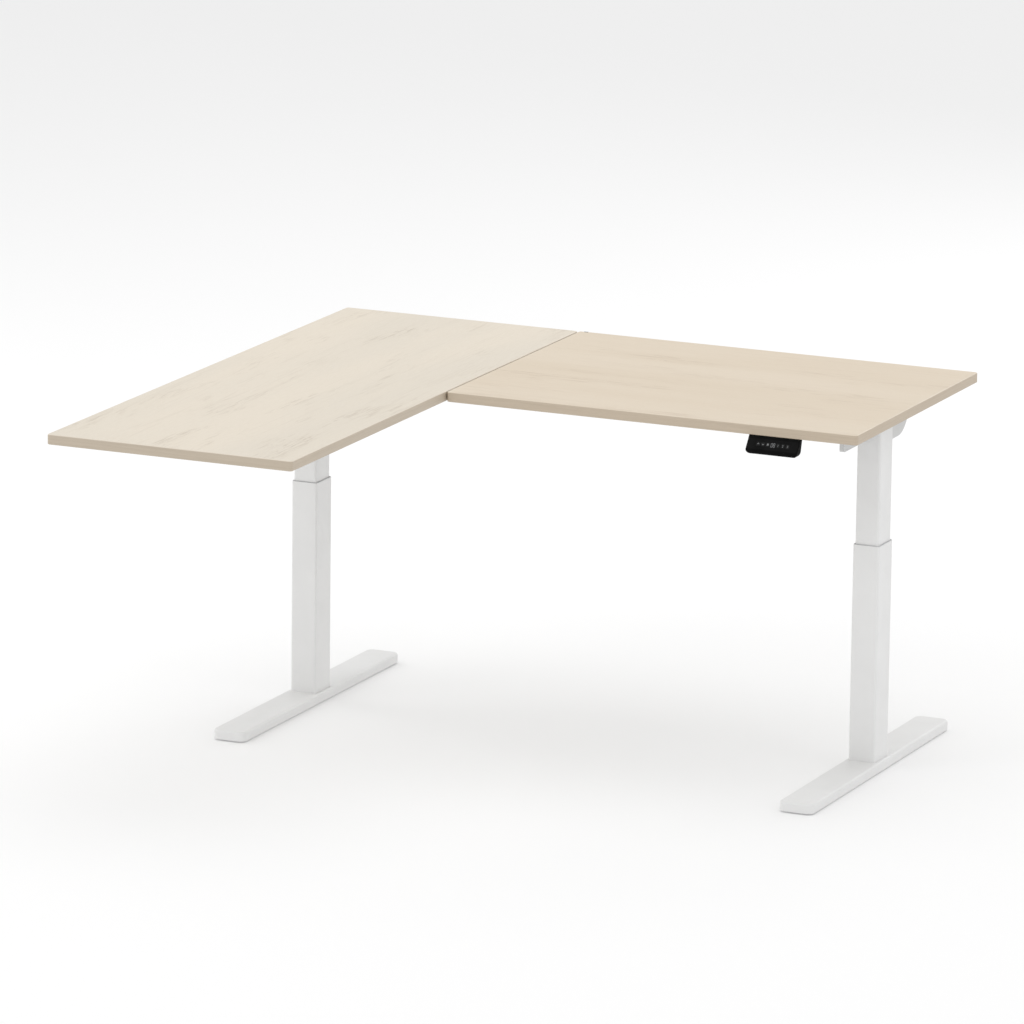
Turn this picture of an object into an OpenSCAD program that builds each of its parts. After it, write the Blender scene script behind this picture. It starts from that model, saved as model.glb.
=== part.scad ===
// Height adjustable L-shaped desk on two motorised telescopic columns.
// Millimetres. X runs along the main worktop, Y towards its back edge, Z up.
// The origin is on the floor under the middle of the plan, with the worktop at its shown height.

/* [Worktops] */
// Overall width, along the back edge
overall_w = 1600; // [1400:10:1800]
// Width of the return worktop
return_w = 600; // [560:5:700]
// Length of the return worktop, front to back
return_len = 1550; // [1300:10:1600]
// Depth of the main worktop
main_depth = 750; // [700:5:800]
// Height of the working surface above the floor
top_h = 853; // [845:1:875]
// Thickness of both worktops
top_t = 23; // [19:1:30]
// Gap between the two worktops
seam_gap = 3; // [1:0.5:4]
// Plan radius at the corners of the worktops
corner_r = 8; // [5:0.5:20]
// Thickness of the edge band
band_t = 3; // [1:0.5:4]

/* [Legs] */
// Left column centre, in from the left end
left_inset = 105; // [95:1:140]
// Right column centre, in from the right end
right_inset = 90; // [80:1:140]
// Column centres, in from the back edge
back_inset = 410; // [380:1:440]
// Width of the outer column, along the worktop
column_w = 64; // [62:1:76]
// Depth of the outer column, front to back
column_d = 83; // [78:1:96]
// Height of the outer column's open end above the floor
column_top = 530; // [525:1:560]
// Width of a foot
foot_w = 83; // [76:1:100]
// Length of a foot
foot_len = 850; // [650:10:900]
// Thickness of a foot
foot_h = 23; // [20:1:30]
// Clear height under a foot
foot_gap = 3; // [2:0.5:6]

/* [Drive] */
// Highest lift above the shown height
lift_up = 260; // [200:5:260]
// Lowest lift below the shown height
lift_down = 130; // [80:5:130]
// Thread diameter of the lifting spindle
spindle_d = 16; // [14:1:18]
// Radial clearance of a running fit
fit_gap = 0.08; // [0.03:0.01:0.1]

/* [Underframe] */
// Width of the crossbeam
beam_w = 60; // [50:1:64]
// Height of the crossbeam
beam_h = 36; // [30:1:40]
// Depth of a support rail below the worktop
rail_h = 22; // [18:1:26]
// Depth of the deep part of a side bracket
bracket_drop = 65; // [60:1:75]

/* [Handset] */
// Handset centre, in from the right end of the worktop
handset_inset = 196; // [150:1:400]
// Handset width
handset_w = 124; // [112:1:140]
// Travel of a key
key_travel = 0.6; // [0.3:0.1:1]

/* [Hidden] */
$fn = 48;
eps = 0.01;
overlap = 1;
hex = 6;
hex_share = 0.72;

x_left = -overall_w / 2;
x_right = overall_w / 2;
y_front = -return_len / 2;
y_back = return_len / 2;
y_main = y_back - main_depth;
x_seam = x_left + return_w;
under_z = top_h - top_t;

leg_y = y_back - back_inset;
left_x = x_left + left_inset;
right_x = x_right - right_inset;
foot_top = foot_gap + foot_h;

// columns
column_wall = 2;
column_r = 5;
inner_gap = 1.5;
inner_w = column_w - 2 * (column_wall + inner_gap);
inner_d = column_d - 2 * (column_wall + inner_gap);
inner_wall = 1.8;
inner_r = 5;
low_clear = 8;
inner_bottom = foot_top + low_clear + lift_down;
base_plate_t = 6;
glide_gap = 0.15;
collar_len = 40;
collar_lip = 1.5;
lip_in = 1;
glide_len = 18;
glide_step = 42;

// drive
plate_top = foot_top + base_plate_t;
nut_tube_d = 30;
nut_tube_wall = 2.5;
nut_seat = 20;
nut_flange_d = 34;
nut_flange_h = 12;
spindle_bottom = plate_top + lift_down + low_clear;
spindle_end = 12;
nut_tube_top = spindle_bottom + lift_up + spindle_end + nut_seat;
spindle_chamfer = 2;
journal_step = 1;
motor_top = under_z - 24;
motor_len = 82;
motor_d = 50;
motor_cap_h = 6;
motor_cap_in = 3;
gear_d = 46;
gear_len = 50;
gear_z = motor_top - motor_len - gear_len;
flange_t = 4;
bell_len = 48;
bell_z = gear_z - flange_t - bell_len;
bell_d = 50;
bell_wall = 3;
bearing_d = 32;
bearing_bore = 12;
bearing_h = 10;
bearing_seat = 2;
bearing_ledge = 2.5;
bell_floor_t = 2;
bell_floor = bearing_seat + bearing_h + bell_floor_t;
coupling_d = 26;
coupling_len = 26;
coupling_gap = 3;
coupling_z = gear_z - flange_t - coupling_gap - coupling_len;
shaft_d = 10;
shaft_end_gap = 2;
journal_h = 12;

// feet
foot_r = 18;
foot_wall = 2.5;
foot_y = y_back - foot_len / 2;
bolt_pitch = 40;
bolt_d = 8;
bolt_head_d = 14;
bolt_head_h = 4.4;
bolt_gap = 0.25;
leveller_in = 45;
pad_d = 34;
pad_h = 5;
pad_slope = 1.5;
stud_d = 8;
stud_top = foot_top - 5;
boss_d = 16;
boss_bottom = 8;

// side brackets
bracket_w = inner_w - 1;
bracket_wall = 2.5;
bracket_arm = 215;
arm_drop = 24;
flange_w = 12;
flange_h = 2.5;
inner_top = under_z - flange_h;
bracket_screw_in = 25;
bracket_screw_mid = 90;
bracket_flat = 70;
bracket_r = 64;
bracket_lean = 53;
bracket_step = 30;
rib_w = 11;
rib_reach = 146;
rib_r = 5;
arc_steps = 10;

// crossbeam
beam_wall = 2;
beam_top = under_z - rail_h;
beam_mid = beam_top - beam_h / 2;
beam_bottom = beam_top - beam_h;
stub_len = 95;
stub_bolts = [30, 70];
core_half = 340;
tube_gap = 90;
clamp_in = 60;
beam_x0 = left_x + inner_w / 2 + eps;
beam_x1 = right_x - inner_w / 2 - eps;
beam_bolt_x = concat(
    [for (u = stub_bolts) right_x - inner_w / 2 - u],
    [for (u = stub_bolts) left_x + inner_w / 2 + u],
    [for (s = [-1, 1], u = [tube_gap + clamp_in, core_half - clamp_in]) s * u]
);

// rails
rail_wall = 2;
rail_web = 24;
rail_lip = 14;
return_rail_x = [x_seam - 280, x_seam - 90];
return_rail_front = 155;
main_rail_x = x_seam + 100;
rail_x = concat(return_rail_x, [main_rail_x]);
main_rail_front = 100;
rail_back = 135;
rail_screw_in = 40;
return_rail_screws = 6;
main_rail_screws = 3;
plate_l = 120;
plate_w = 40;
plate_t = 3;
plate_screw_in = 12;
plate_screw_mid = 22;
seam_plate_y = [y_main + 65, leg_y + 60, y_back - 95];

// fasteners
screw_d = 4;
screw_len = 16;
screw_head_d = 8.4;
screw_head_h = 2.4;
m6_d = 6;
m6_head_d = 11;
m6_head_h = 3.3;

// control box
box_x = x_right - 530;
box_y = y_back - 160;
box_w = 260;
box_d = 110;
box_h = 36;
box_wall = 2.2;
box_r = 6;
box_lid_t = 2.5;
box_bottom = under_z - box_lid_t - box_h;
ear = 16;
box_screw_in = 18;
socket_w = 14;
socket_h = 10;
socket_x = [-100, -30, 60];
left_socket = 0;
handset_socket = 1;
right_socket = 2;
plug_out = 12;
plug_gap = 0.2;
inlet_x = 100;
inlet_z = box_bottom + box_h / 2;
inlet_w = 26;
inlet_h = 16;
inlet_depth = 20;
inlet_hole_w = 20;
inlet_hole_h = 9;
inlet_hole_depth = 15;
pin_pitch = 8.6;
pin_d = 2.4;
pin_len = 9;

// circuit board in the box: places from the middle of the box, then sizes
board_t = 1.6;
post_d = 7;
post_h = 4;
board_posts = [[-110, -42], [-110, 42], [110, 40], [64, -42]];
board_area = [-118, -48, 190, 96];
board_wing = [72, -20, 46, 68];
transformer = [-20, 2, 52, 40, 24];
heat_sink = [-60, -20, 6, 56, 20];
capacitor_x = [-96, -72];
capacitor_y = 20;
capacitor_d = 18;
capacitor_h = 26;
header_side = 2;
header_d = 10;
header_h = 18;

// leads
lead_d = 5;
lead_r = 9;
lead_hole_d = 9;
lead_drop = 17;
lead_z = under_z - lead_drop;
lead_under_z = beam_mid + 4;
lead_turn = 75;
lead_beam_y = leg_y + beam_w / 2 + 6;
right_lead_y = leg_y + 115;
handset_lead_y = leg_y + 75;
handset_lead_in = 1;
clip_t = 1.5;
clip_w = 8;
beam_clip_x = [-560, -390, -195, 130];
right_clip_x = [560, 440];
handset_clip_y = [150, 260];
terminal_w = 16;
terminal_h = 12;

// handset
handset_x = x_right - handset_inset;
handset_top_d = 9;
handset_foot_d = -2;
tongue_w = 96;
tongue_d = 32;
tongue_t = 4;
face_tilt = 36.87;
face_top = 1.2;
panel_t = 1.6;
handset_drop = 39;
handset_r = 12;
nose_r = 7;
nose_y = face_top + (nose_r + (nose_r - handset_drop) * sin(face_tilt)) / cos(face_tilt);
handset_screw_x = 36;
handset_screw_y = 21;
panel_w = handset_w - 5;
panel_h = 26;
panel_r = 7;
panel_z = -20.5;
cavity_w = handset_w - 14;
cavity_h = 21;
cavity_r = 2;
key_w = 9.6;
key_h = 11;
key_gap = 0.3;
key_proud = 0.3;
key_first = 12.2;
key_pitch = 11.4;
key_x = concat(
    [for (i = [2 : -1 : 0]) -key_first - i * key_pitch],
    [for (i = [0 : 2]) key_first + i * key_pitch]
);
key_z = -20.5;
key_r = 1.2;
key_lip = 0.5;
key_flange = 1;
flange_back = 0.1;
cavity_depth = 9;
pillar_len = 2;
pillar_d = 4;
pillar_in_x = 6;
pillar_in_z = 5;
key_board_in = 2;
key_board_y = cavity_depth - pillar_len - board_t;
switch_d = 5;
switch_gap = 0.2;
switch_h = key_board_y - panel_t - flange_back - key_flange - key_travel - switch_gap;
display_w = 13;
display_h = 13;
display_depth = 0.5;

// cable clip let into the back edge beside the seam
notch_x = x_seam + 14;
notch_w = 11;
notch_d = 5;
notch_h = 14;

white = [0.93, 0.93, 0.92];
grey = [0.62, 0.63, 0.64];
dark = [0.2, 0.2, 0.21];
black = [0.07, 0.07, 0.07];
steel = [0.72, 0.73, 0.74];
brass = [0.78, 0.64, 0.36];
wood = [0.89, 0.85, 0.79];
edge_tone = [0.78, 0.73, 0.65];
board_green = [0.1, 0.35, 0.22];

// ---------- shared shapes ----------

// Rectangle with round corners, centred
module round_rect(w, l, r) {
    union() {
        square([w - 2 * r, l], center = true);
        square([w, l - 2 * r], center = true);
        for (sx = [-1, 1], sy = [-1, 1])
            translate([sx * (w / 2 - r), sy * (l / 2 - r)])
                circle(r = r);
    }
}

// Slot with half-round ends, w long over all
module slot(w, h) {
    square([w - h, h], center = true);
    for (s = [-1, 1])
        translate([s * (w - h) / 2, 0])
            circle(d = h);
}

// Width, depth and corner radius of the outer column, set in by t
function outer_size(t) = [column_w - 2 * t, column_d - 2 * t, column_r - t];

// The same for the inner column
function inner_size(t) = [inner_w - 2 * t, inner_d - 2 * t, inner_r - t];

module plan(size) {
    round_rect(size[0], size[1], size[2]);
}

// Ring between two plans, standing on z = 0
module ring(outer, inner, h) {
    linear_extrude(height = h)
        difference() {
            plan(outer);
            plan(inner);
        }
}

// Places children at the left or the right leg; the left one is mirrored, so +X points outwards
module at_leg(side) {
    translate([side < 0 ? left_x : right_x, leg_y, 0])
        mirror([side < 0 ? 1 : 0, 0, 0])
            children();
}

// ---------- worktops ----------

// Plan of one worktop, shrunk by inset on every side
module top_plan(x0, x1, y0, y1, inset) {
    translate([(x0 + x1) / 2, (y0 + y1) / 2])
        round_rect(x1 - x0 - 2 * inset, y1 - y0 - 2 * inset, corner_r - inset);
}

module return_plan(inset) {
    top_plan(x_left, x_seam - seam_gap / 2, y_front, y_back, inset);
}

module main_plan(inset) {
    top_plan(x_seam + seam_gap / 2, x_right, y_main, y_back, inset);
}

module clip_notch() {
    translate([notch_x, y_back - notch_d, top_h - notch_h])
        cube([notch_w, notch_d + overlap, notch_h + overlap]);
}

module return_top() {
    color(wood)
        difference() {
            translate([0, 0, under_z])
                linear_extrude(height = top_t)
                    return_plan(band_t);
            screw_shanks();
        }
}

module main_top() {
    color(wood)
        difference() {
            translate([0, 0, under_z])
                linear_extrude(height = top_t)
                    main_plan(band_t);
            screw_shanks();
            clip_notch();
        }
}

module return_edge_band() {
    color(edge_tone)
        translate([0, 0, under_z])
            linear_extrude(height = top_t)
                difference() {
                    return_plan(0);
                    return_plan(band_t);
                }
}

module main_edge_band() {
    color(edge_tone)
        difference() {
            translate([0, 0, under_z])
                linear_extrude(height = top_t)
                    difference() {
                        main_plan(0);
                        main_plan(band_t);
                    }
            clip_notch();
        }
}

module back_cable_clip() {
    color(black)
        translate([notch_x, y_back - notch_d, top_h - notch_h])
            cube([notch_w, notch_d, notch_h]);
}

// ---------- legs: the part that stands on the floor ----------

module foot(side) {
    color(white)
        at_leg(side)
            translate([0, foot_y - leg_y, 0])
                difference() {
                    union() {
                        difference() {
                            translate([0, 0, foot_gap])
                                linear_extrude(height = foot_h)
                                    round_rect(foot_w, foot_len, foot_r);
                            translate([0, 0, foot_gap - overlap])
                                linear_extrude(height = foot_h - foot_wall + overlap)
                                    round_rect(foot_w - 2 * foot_wall, foot_len - 2 * foot_wall,
                                               foot_r - foot_wall);
                        }
                        for (end = [-1, 1])
                            translate([0, end * (foot_len / 2 - leveller_in), boss_bottom])
                                cylinder(d = boss_d, h = foot_top - foot_wall / 2 - boss_bottom);
                    }
                    for (end = [-1, 1])
                        translate([0, end * (foot_len / 2 - leveller_in), boss_bottom - overlap])
                            cylinder(d = stud_d + 2 * fit_gap,
                                     h = foot_top - foot_wall - boss_bottom + overlap);
                    translate([0, leg_y - foot_y, 0])
                        base_bolt_holes(bolt_d + 2 * bolt_gap);
                }
}

module base_bolt_holes(d) {
    for (sx = [-1, 1], sy = [-1, 1])
        translate([sx * bolt_pitch / 2, sy * bolt_pitch / 2, 0])
            cylinder(d = d, h = plate_top + overlap);
}

module outer_column(side) {
    color(white)
        at_leg(side)
            difference() {
                union() {
                    translate([0, 0, foot_top])
                        ring(outer_size(0), outer_size(column_wall), column_top - foot_top);
                    translate([0, 0, foot_top])
                        linear_extrude(height = base_plate_t)
                            plan(outer_size(column_wall / 2));
                }
                base_bolt_holes(bolt_d);
            }
}

module upper_glide(side) {
    color(grey)
        at_leg(side) {
            translate([0, 0, column_top - collar_len])
                ring(outer_size(column_wall), inner_size(-glide_gap), collar_len);
            translate([0, 0, column_top])
                ring(outer_size(lip_in), inner_size(-glide_gap), collar_lip);
        }
}

module nut_tube(side) {
    color(steel)
        at_leg(side)
            translate([0, 0, plate_top])
                difference() {
                    cylinder(d = nut_tube_d, h = nut_tube_top - plate_top);
                    translate([0, 0, -overlap])
                        cylinder(d = nut_tube_d - 2 * nut_tube_wall,
                                 h = nut_tube_top - plate_top + 2 * overlap);
                }
}

module drive_nut(side) {
    color(brass)
        at_leg(side)
            difference() {
                union() {
                    translate([0, 0, nut_tube_top - nut_seat])
                        cylinder(d = nut_tube_d - 2 * nut_tube_wall, h = nut_seat + overlap);
                    translate([0, 0, nut_tube_top])
                        cylinder(d = nut_flange_d, h = nut_flange_h);
                }
                translate([0, 0, nut_tube_top - nut_seat - overlap])
                    cylinder(d = spindle_d + 2 * fit_gap, h = nut_seat + nut_flange_h + 3 * overlap);
            }
}

module base_bolts(side) {
    color(steel)
        at_leg(side)
            for (sx = [-1, 1], sy = [-1, 1])
                translate([sx * bolt_pitch / 2, sy * bolt_pitch / 2, 0])
                    difference() {
                        union() {
                            translate([0, 0, foot_top - foot_wall - bolt_head_h])
                                cylinder(d = bolt_head_d, h = bolt_head_h);
                            translate([0, 0, foot_top - foot_wall])
                                cylinder(d = bolt_d, h = plate_top - foot_top + foot_wall);
                        }
                        translate([0, 0, foot_top - foot_wall - bolt_head_h - overlap])
                            cylinder(d = bolt_d * hex_share, h = bolt_head_h / 2 + overlap, $fn = hex);
                    }
}

// end is -1 at the front of the foot and 1 at its rear
module leveller(side, end) {
    color(dark)
        at_leg(side)
            translate([0, foot_y - leg_y + end * (foot_len / 2 - leveller_in), 0])
                union() {
                    cylinder(d = pad_d, h = pad_h - pad_slope);
                    translate([0, 0, pad_h - pad_slope])
                        cylinder(d1 = pad_d, d2 = pad_d - 4 * pad_slope, h = pad_slope);
                    cylinder(d = stud_d, h = stud_top);
                }
}

// ---------- legs: the part that rises ----------

module inner_column(side) {
    color(white)
        at_leg(side)
            difference() {
                union() {
                    translate([0, 0, inner_bottom])
                        ring(inner_size(0), inner_size(inner_wall), inner_top - inner_bottom);
                    beam_stub();
                }
                translate([-inner_w / 2 - overlap, 0, lead_z])
                    rotate([0, 90, 0])
                        cylinder(d = lead_hole_d, h = inner_wall + 2 * overlap);
                for (u = stub_bolts)
                    translate([-inner_w / 2 - u, 0, beam_bottom - overlap])
                        cylinder(d = m6_d, h = 3 * beam_wall + overlap);
            }
}

// Stub that the crossbeam slides over, welded to the column's inner face
module beam_stub() {
    stub_w = beam_w - 2 * beam_wall - 2 * eps;
    stub_h = beam_h - 2 * beam_wall - 2 * eps;
    translate([-inner_w / 2 - stub_len, 0, beam_mid])
        rotate([0, 90, 0])
            linear_extrude(height = stub_len + inner_wall / 2)
                difference() {
                    square([stub_h, stub_w], center = true);
                    square([stub_h - 2 * beam_wall, stub_w - 2 * beam_wall], center = true);
                }
}

module lower_glides(side) {
    color(grey)
        at_leg(side)
            for (z = [inner_bottom, inner_bottom + glide_step])
                translate([0, 0, z])
                    ring(outer_size(column_wall + glide_gap), inner_size(0), glide_len);
}

module motor(side) {
    color(grey)
        at_leg(side)
            union() {
                translate([0, 0, motor_top - motor_len])
                    cylinder(d = motor_d, h = motor_len - motor_cap_h);
                translate([0, 0, motor_top - motor_cap_h])
                    cylinder(d = motor_d - 2 * motor_cap_in, h = motor_cap_h);
                translate([-terminal_w / 2, -terminal_w / 2, motor_top - eps])
                    cube([terminal_w, terminal_w, terminal_h]);
            }
}

module gearbox(side) {
    color(steel)
        at_leg(side)
            difference() {
                union() {
                    translate([0, 0, gear_z])
                        cylinder(d = gear_d, h = gear_len);
                    translate([0, 0, gear_z - flange_t])
                        linear_extrude(height = flange_t + eps)
                            plan(inner_size(inner_wall));
                    translate([0, 0, bell_z])
                        cylinder(d = bell_d, h = bell_len + eps);
                }
                translate([0, 0, bell_z + bell_floor])
                    cylinder(d = bell_d - 2 * bell_wall, h = bell_len - bell_floor);
                translate([0, 0, bell_z + bearing_seat])
                    cylinder(d = bearing_d, h = bearing_h);
                translate([0, 0, bell_z - overlap])
                    cylinder(d = bearing_d - 2 * bearing_ledge, h = bell_floor + 2 * overlap);
                translate([0, 0, gear_z - flange_t - overlap])
                    cylinder(d = shaft_d + 2 * fit_gap, h = flange_t + gear_len / 2 + overlap);
            }
}

module thrust_bearing(side) {
    color(steel)
        at_leg(side)
            translate([0, 0, bell_z + bearing_seat])
                difference() {
                    cylinder(d = bearing_d, h = bearing_h);
                    translate([0, 0, -overlap])
                        cylinder(d = bearing_bore + 2 * fit_gap, h = bearing_h + 2 * overlap);
                }
}

module coupling(side) {
    color(grey)
        at_leg(side)
            difference() {
                union() {
                    translate([0, 0, coupling_z])
                        cylinder(d = coupling_d, h = coupling_len);
                    translate([0, 0, coupling_z + coupling_len])
                        cylinder(d = shaft_d, h = coupling_gap + flange_t + gear_len / 2 - shaft_end_gap);
                }
                translate([0, 0, coupling_z - overlap])
                    cylinder(d = bearing_bore, h = journal_h + overlap);
            }
}

module spindle(side) {
    shoulder = bell_z + bearing_seat - journal_step;
    color(steel)
        at_leg(side)
            union() {
                translate([0, 0, spindle_bottom + spindle_chamfer])
                    cylinder(d = spindle_d, h = shoulder - spindle_bottom - spindle_chamfer);
                translate([0, 0, spindle_bottom])
                    cylinder(d1 = spindle_d - 2 * spindle_chamfer, d2 = spindle_d,
                             h = spindle_chamfer);
                translate([0, 0, shoulder])
                    cylinder(d = bearing_bore, h = coupling_z + journal_h - shoulder);
            }
}

// Curved under edge behind the column, from the middle outwards, set in by t
function bracket_wing(t) =
    let (
        r = bracket_r - t,
        tip_u = bracket_flat + r * sin(bracket_lean),
        tip_w = -bracket_drop + bracket_r - r * cos(bracket_lean)
    )
    concat(
        [for (i = [0 : arc_steps])
            let (a = i * bracket_lean / arc_steps)
            [bracket_flat + r * sin(a), -bracket_drop + bracket_r - r * cos(a)]],
        [
            [tip_u + (-arm_drop + t - tip_w) / tan(bracket_lean), -arm_drop + t],
            [bracket_arm - t - (arm_drop - t) / 2, -arm_drop + t],
            [bracket_arm - t, -arm_drop / 2 + t]
        ]
    );

// An outline set in by t is a cavity, and goes up through the top face
function cavity_top(t) = t > 0 ? overlap : 0;

// Outline of the pan: a shallow arm in front and a deep curved wing behind
module pan_profile(t) {
    polygon(concat(
        [
            [-bracket_arm + t, cavity_top(t)],
            [-bracket_arm + t, -arm_drop / 2 + t],
            [-bracket_arm + t + (arm_drop - t) / 2, -arm_drop + t],
            [-bracket_step + t, -arm_drop + t],
            [-bracket_step + t, -bracket_drop + t]
        ],
        bracket_wing(t),
        [[bracket_arm - t, cavity_top(t)]]
    ));
}

// Outline of the deep rib in front of the column
module rib_profile(t) {
    polygon(concat(
        [[0, cavity_top(t)], [-rib_reach + t, cavity_top(t)]],
        [for (i = [0 : arc_steps])
            let (a = 180 + 90 * i / arc_steps)
            [-rib_reach + rib_r + (rib_r - t) * cos(a), -bracket_drop + rib_r + (rib_r - t) * sin(a)]],
        [[0, -bracket_drop + t]]
    ));
}

// The pan and its rib, set in by t
module bracket_body(t) {
    along_x(bracket_w - 2 * t)
        pan_profile(t);
    translate([(rib_w - bracket_w) / 2, 0, 0])
        along_x(rib_w - 2 * t)
            rib_profile(t);
}

// Stands a YZ outline upright and gives it a width along X
module along_x(w) {
    rotate([90, 0, 90])
        translate([0, 0, -w / 2])
            linear_extrude(height = w)
                children();
}

module side_bracket(side) {
    color(white)
        at_leg(side)
            difference() {
                union() {
                    translate([0, 0, under_z])
                        bracket_body(0);
                    translate([0, 0, under_z - flange_h])
                        linear_extrude(height = flange_h)
                            square([bracket_w + 2 * flange_w, 2 * bracket_arm], center = true);
                }
                translate([0, 0, under_z])
                    bracket_body(bracket_wall);
                translate([0, 0, under_z - bracket_drop - overlap])
                    linear_extrude(height = bracket_drop - flange_h + overlap)
                        plan(inner_size(0));
                screw_holes_in_leg_frame(side);
            }
}

// ---------- crossbeam ----------

module beam_tube(x0, x1, w, h, wall) {
    translate([x0, leg_y, beam_mid])
        rotate([0, 90, 0])
            linear_extrude(height = x1 - x0)
                difference() {
                    square([h, w], center = true);
                    square([h - 2 * wall, w - 2 * wall], center = true);
                }
}

module crossbeam_left() {
    color(white)
        difference() {
            beam_tube(beam_x0, -tube_gap, beam_w, beam_h, beam_wall);
            frame_bolt_bodies();
        }
}

module crossbeam_right() {
    color(white)
        difference() {
            beam_tube(tube_gap, beam_x1, beam_w, beam_h, beam_wall);
            frame_bolt_bodies();
        }
}

module crossbeam_core() {
    color(white)
        difference() {
            beam_tube(-core_half, core_half, beam_w - 2 * beam_wall - 2 * eps,
                      beam_h - 2 * beam_wall - 2 * eps, beam_wall);
            frame_bolt_bodies();
        }
}

// Bolts that go up into the crossbeam, and those that go down into it through the rails
module frame_bolt_bodies() {
    for (x = beam_bolt_x)
        translate([x, leg_y, beam_bottom])
            cylinder(d = m6_d, h = 3 * beam_wall);
    for (x = rail_x)
        translate([x, leg_y, beam_top - 3 * beam_wall])
            cylinder(d = m6_d, h = 3 * beam_wall + rail_wall);
}

module frame_bolts() {
    color(steel) {
        for (x = beam_bolt_x)
            translate([x, leg_y, beam_bottom - m6_head_h])
                difference() {
                    union() {
                        cylinder(d = m6_head_d, h = m6_head_h);
                        cylinder(d = m6_d, h = m6_head_h + 3 * beam_wall);
                    }
                    translate([0, 0, -overlap])
                        cylinder(d = m6_d * hex_share, h = m6_head_h / 2 + overlap, $fn = hex);
                }
        for (x = rail_x)
            translate([x, leg_y, beam_top - 3 * beam_wall]) {
                cylinder(d = m6_d, h = 3 * beam_wall + rail_wall);
                translate([0, 0, 3 * beam_wall + rail_wall])
                    cylinder(d = m6_head_d, h = m6_head_h);
            }
    }
}

// ---------- rails and seam plates ----------

// Hat section, standing on its web
module rail_section() {
    half = rail_web / 2;
    difference() {
        union() {
            translate([-half, 0])
                square([rail_web, rail_h]);
            translate([-half - rail_lip, rail_h - rail_wall])
                square([rail_web + 2 * rail_lip, rail_wall]);
        }
        translate([-half + rail_wall, rail_wall])
            square([rail_web - 2 * rail_wall, rail_h]);
    }
}

module rail(x, y0, y1) {
    translate([x, y1, under_z - rail_h])
        rotate([90, 0, 0])
            linear_extrude(height = y1 - y0)
                rail_section();
}

module support_rails() {
    color(white)
        difference() {
            union() {
                for (x = return_rail_x)
                    rail(x, y_front + return_rail_front, y_back - rail_back);
                rail(main_rail_x, y_main + main_rail_front, y_back - rail_back);
            }
            screw_shanks();
            frame_bolt_bodies();
        }
}

module seam_plates() {
    color(steel)
        difference() {
            for (y = seam_plate_y)
                translate([x_seam, y, under_z - plate_t / 2])
                    cube([plate_l, plate_w, plate_t], center = true);
            screw_shanks();
        }
}

// ---------- fasteners ----------

function steps(from, to, count) = [for (i = [0 : count - 1]) from + i * (to - from) / (count - 1)];

// Each entry is x, y and the thickness of metal or plastic under the screw's head
function rail_screws() = concat(
    [for (x = return_rail_x, s = [-1, 1],
          y = steps(y_front + return_rail_front + rail_screw_in,
                    y_back - rail_back - rail_screw_in, return_rail_screws))
        [x + s * (rail_web + rail_lip) / 2, y, rail_wall]],
    [for (s = [-1, 1],
          y = steps(y_main + main_rail_front + rail_screw_in,
                    y_back - rail_back - rail_screw_in, main_rail_screws))
        [main_rail_x + s * (rail_web + rail_lip) / 2, y, rail_wall]]
);

function bracket_screws() = [
    for (x = [left_x, right_x], sx = [-1, 1], sy = [-1, 1],
         v = [bracket_arm - bracket_screw_in, bracket_screw_mid])
        [x + sx * (bracket_w + flange_w) / 2, leg_y + sy * v, flange_h]
];

function plate_screws() = [
    for (y = seam_plate_y, sx = [-1, 1], u = [plate_l / 2 - plate_screw_in, plate_screw_mid])
        [x_seam + sx * u, y, plate_t]
];

function box_screws() = [
    for (sx = [-1, 1], sy = [-1, 1])
        [box_x + sx * (box_w + ear) / 2, box_y + sy * (box_d / 2 - box_screw_in), box_lid_t]
];

function handset_screws() = [
    for (s = [-1, 1])
        [handset_x + s * handset_screw_x, y_main + handset_screw_y, tongue_t]
];

function all_screws() =
    concat(rail_screws(), bracket_screws(), plate_screws(), box_screws(), handset_screws());

module screw_shanks() {
    for (s = all_screws())
        translate([s[0], s[1], under_z - s[2] - eps])
            cylinder(d = screw_d, h = screw_len);
}

module screw_holes_in_leg_frame(side) {
    mirror([side < 0 ? 1 : 0, 0, 0])
        translate([side < 0 ? -left_x : -right_x, -leg_y, 0])
            screw_shanks();
}

module top_screws() {
    color(steel)
        for (s = all_screws())
            translate([s[0], s[1], under_z - s[2]])
                union() {
                    translate([0, 0, -screw_head_h])
                        cylinder(d = screw_head_d, h = screw_head_h);
                    cylinder(d = screw_d, h = screw_len - eps);
                }
}

// ---------- control box ----------

module in_box() {
    translate([box_x, box_y, 0])
        children();
}

module control_box_shell() {
    color(black)
        in_box()
            difference() {
                translate([0, 0, box_bottom])
                    linear_extrude(height = box_h)
                        round_rect(box_w, box_d, box_r);
                translate([0, 0, box_bottom + box_wall])
                    linear_extrude(height = box_h)
                        round_rect(box_w - 2 * box_wall, box_d - 2 * box_wall, box_r - box_wall);
                for (x = socket_x)
                    translate([x - socket_w / 2, -box_d / 2 - overlap, lead_z - socket_h / 2])
                        cube([socket_w, box_wall + 2 * overlap, socket_h]);
                translate([inlet_x - inlet_w / 2, -box_d / 2 - overlap, inlet_z - inlet_h / 2])
                    cube([inlet_w, box_wall + 2 * overlap, inlet_h]);
            }
}

module control_box_lid() {
    color(black)
        difference() {
            in_box()
                translate([0, 0, under_z - box_lid_t])
                    linear_extrude(height = box_lid_t)
                        round_rect(box_w + 2 * ear, box_d, box_r);
            screw_shanks();
        }
}

// Block given as x, y, width and depth, standing on z = 0 in the box
module board_block(b, h) {
    translate([b[0] - eps, b[1], 0])
        cube([b[2] + eps, b[3], h]);
}

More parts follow.
